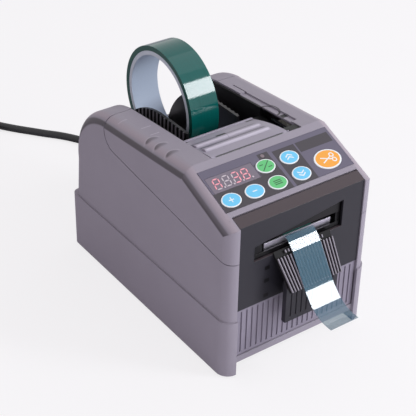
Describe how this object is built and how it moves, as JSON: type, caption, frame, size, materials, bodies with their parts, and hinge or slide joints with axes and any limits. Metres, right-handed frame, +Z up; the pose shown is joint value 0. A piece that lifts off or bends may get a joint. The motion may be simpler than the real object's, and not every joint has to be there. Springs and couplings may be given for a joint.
{
  "type": "electric tape dispenser",
  "caption": "Electric desk tape dispenser with drop-in roll, driven feed roller, guillotine cutter, sloping key panel, hinged roller cover and hinged front cover.",
  "frame": {"origin": "on the floor below the middle of the machine's outline, the hanging film end included and the mains lead left out", "axes": "+Z up, +X to the right of someone facing the front, -Y towards that person, so +Y runs from front to rear"},
  "size_m": [0.2121, 0.5631, 0.1815],
  "materials": {
    "casing": "satin moulded plastic",
    "top": "satin moulded plastic",
    "base": "matt moulded plastic",
    "rubber": "matt rubber",
    "steel": "ground steel",
    "zinc": "plated sheet",
    "brass": "machined brass",
    "grille": "satin moulded plastic",
    "black": "matt moulded plastic",
    "dark_cover": "satin moulded plastic",
    "overlay": "printed polyester film",
    "window": "tinted clear plastic",
    "display": "moulded display block",
    "lamp": "clear tinted plastic",
    "board": "lacquered circuit board",
    "switch": "moulded plastic",
    "key_blue": "soft gloss",
    "key_green": "soft gloss",
    "key_orange": "soft gloss",
    "roller_cover": "satin moulded plastic",
    "gear": "moulded acetal",
    "motor": "plated can",
    "tape": "glossy film",
    "film_end": "thin glossy film",
    "core": "smooth moulded tube",
    "rocker": "gloss moulded plastic",
    "cord": "matt sheath",
    "tie": "moulded strap"
  },
  "bodies": {
    "casing": {"main_casing": "casing", "top_cover": "top", "base_plate": "base", "rubber_feet": "rubber", "base_screws": "steel", "front_panel": "grille", "bay_liner": "black", "panel_overlay": "overlay", "display_window": "window", "display_module": "display", "status_led": "lamp", "control_board": "board", "key_switches": "switch", "bearing_block": "black", "feed_motor": "motor", "left_side_plate": "zinc", "right_side_plate": "zinc", "shaft_bearings": "brass", "cutter_frame": "black", "fixed_blade": "steel", "cutter_motor": "motor", "safety_switch": "switch", "tape_web": "tape", "cradle_rods": "steel", "transformer": "motor", "main_board": "board", "power_switch": "switch", "cord_gland": "cord", "power_cord": "cord", "cord_coil": "cord", "cord_tie": "tie", "plug": "cord"},
    "front_cover": {"cutter_cover": "dark_cover", "outlet_ramp": "black", "lower_chute": "black", "tape_tail": "film_end"},
    "roller_lid": {"roller_cover": "roller_cover", "pinch_shaft": "steel"},
    "pinch": {"pinch_roller": "rubber"},
    "feed": {"feed_roller": "rubber", "feed_shaft": "steel", "feed_gear": "gear"},
    "drive_pinion": {"motor_pinion": "brass"},
    "blade": {"moving_blade": "steel", "blade_carrier": "zinc"},
    "blade_drive": {"cutter_pinion": "brass"},
    "roll": {"tape_core": "core", "tape_roll": "tape"},
    "front_cradle": {"front_cradle_roller": "switch"},
    "rear_cradle": {"rear_cradle_roller": "switch"},
    "guide_left": {"left_guide": "black"},
    "guide_right": {"right_guide": "black"},
    "rocker": {"power_rocker": "rocker"},
    "key_plus": {"key_plus": "key_blue"},
    "key_minus": {"key_minus": "key_blue"},
    "key_select": {"key_select": "key_green"},
    "key_mode": {"key_mode": "key_green"},
    "key_up": {"key_up": "key_blue"},
    "key_down": {"key_down": "key_blue"},
    "key_cut": {"key_cut": "key_orange"}
  },
  "joints": [
    {"name": "key_plus_press", "type": "slide", "parent": "casing", "child": "key_plus", "axis": [0, 0.3746, -0.9272], "range_m": [0, 0.0006], "stiffness_N_per_m": 800},
    {"name": "key_minus_press", "type": "slide", "parent": "casing", "child": "key_minus", "axis": [0, 0.3746, -0.9272], "range_m": [0, 0.0006], "stiffness_N_per_m": 800},
    {"name": "key_select_press", "type": "slide", "parent": "casing", "child": "key_select", "axis": [0, 0.3746, -0.9272], "range_m": [0, 0.0006], "stiffness_N_per_m": 800},
    {"name": "key_mode_press", "type": "slide", "parent": "casing", "child": "key_mode", "axis": [0, 0.3746, -0.9272], "range_m": [0, 0.0006], "stiffness_N_per_m": 800},
    {"name": "key_up_press", "type": "slide", "parent": "casing", "child": "key_up", "axis": [0, 0.3746, -0.9272], "range_m": [0, 0.0006], "stiffness_N_per_m": 800},
    {"name": "key_down_press", "type": "slide", "parent": "casing", "child": "key_down", "axis": [0, 0.3746, -0.9272], "range_m": [0, 0.0006], "stiffness_N_per_m": 800},
    {"name": "key_cut_press", "type": "slide", "parent": "casing", "child": "key_cut", "axis": [0, 0.3746, -0.9272], "range_m": [0, 0.0006], "stiffness_N_per_m": 800},
    {"name": "feed_spin", "type": "hinge", "parent": "casing", "child": "feed", "pos_m": [0, -0.00042, 0.1154], "axis": [1, 0, 0], "continuous": true},
    {"name": "motor_spin", "type": "hinge", "parent": "casing", "child": "drive_pinion", "pos_m": [0, -0.00042, 0.0854], "axis": [1, 0, 0], "continuous": true},
    {"name": "roller_cover_hinge", "type": "hinge", "parent": "casing", "child": "roller_lid", "pos_m": [0, -0.02372, 0.14858], "axis": [1, 0, 0], "range_deg": [0, 95]},
    {"name": "pinch_spin", "type": "hinge", "parent": "roller_lid", "child": "pinch", "pos_m": [0, -0.00042, 0.1334], "axis": [1, 0, 0], "continuous": true},
    {"name": "roll_spin", "type": "hinge", "parent": "casing", "child": "roll", "pos_m": [0, 0.08255, 0.136], "axis": [1, 0, 0], "continuous": true},
    {"name": "front_cradle_spin", "type": "hinge", "parent": "casing", "child": "front_cradle", "pos_m": [0, 0.06449, 0.08638], "axis": [1, 0, 0], "continuous": true},
    {"name": "rear_cradle_spin", "type": "hinge", "parent": "casing", "child": "rear_cradle", "pos_m": [0, 0.10061, 0.08638], "axis": [1, 0, 0], "continuous": true},
    {"name": "cutter_cover_hinge", "type": "hinge", "parent": "casing", "child": "front_cover", "pos_m": [0, -0.0716, 0.13028], "axis": [-1, 0, 0], "range_deg": [0, 80]},
    {"name": "blade_slide", "type": "slide", "parent": "casing", "child": "blade", "axis": [0, 0, -1], "range_m": [0, 0.006]},
    {"name": "cutter_spin", "type": "hinge", "parent": "casing", "child": "blade_drive", "pos_m": [0, -0.0651, 0.1155], "axis": [1, 0, 0], "range_deg": [-5, 62]},
    {"name": "rocker_tilt", "type": "hinge", "parent": "casing", "child": "rocker", "pos_m": [0, 0.12835, 0.024], "axis": [1, 0, 0], "range_deg": [-8, 8]},
    {"name": "left_guide_slide", "type": "slide", "parent": "casing", "child": "guide_left", "axis": [-1, 0, 0], "range_m": [0, 0.012]},
    {"name": "right_guide_slide", "type": "slide", "parent": "casing", "child": "guide_right", "axis": [1, 0, 0], "range_m": [0, 0.012]}
  ],
  "couplings": [
    {"joint": "motor_spin", "follows": "feed_spin", "ratio": -2.75},
    {"joint": "pinch_spin", "follows": "feed_spin", "ratio": -1.4286},
    {"joint": "roll_spin", "follows": "feed_spin", "ratio": -0.21978},
    {"joint": "front_cradle_spin", "follows": "feed_spin", "ratio": 1.4286},
    {"joint": "rear_cradle_spin", "follows": "feed_spin", "ratio": 1.4286},
    {"joint": "cutter_spin", "follows": "blade_slide", "rad_per_m": 166.67}
  ]
}
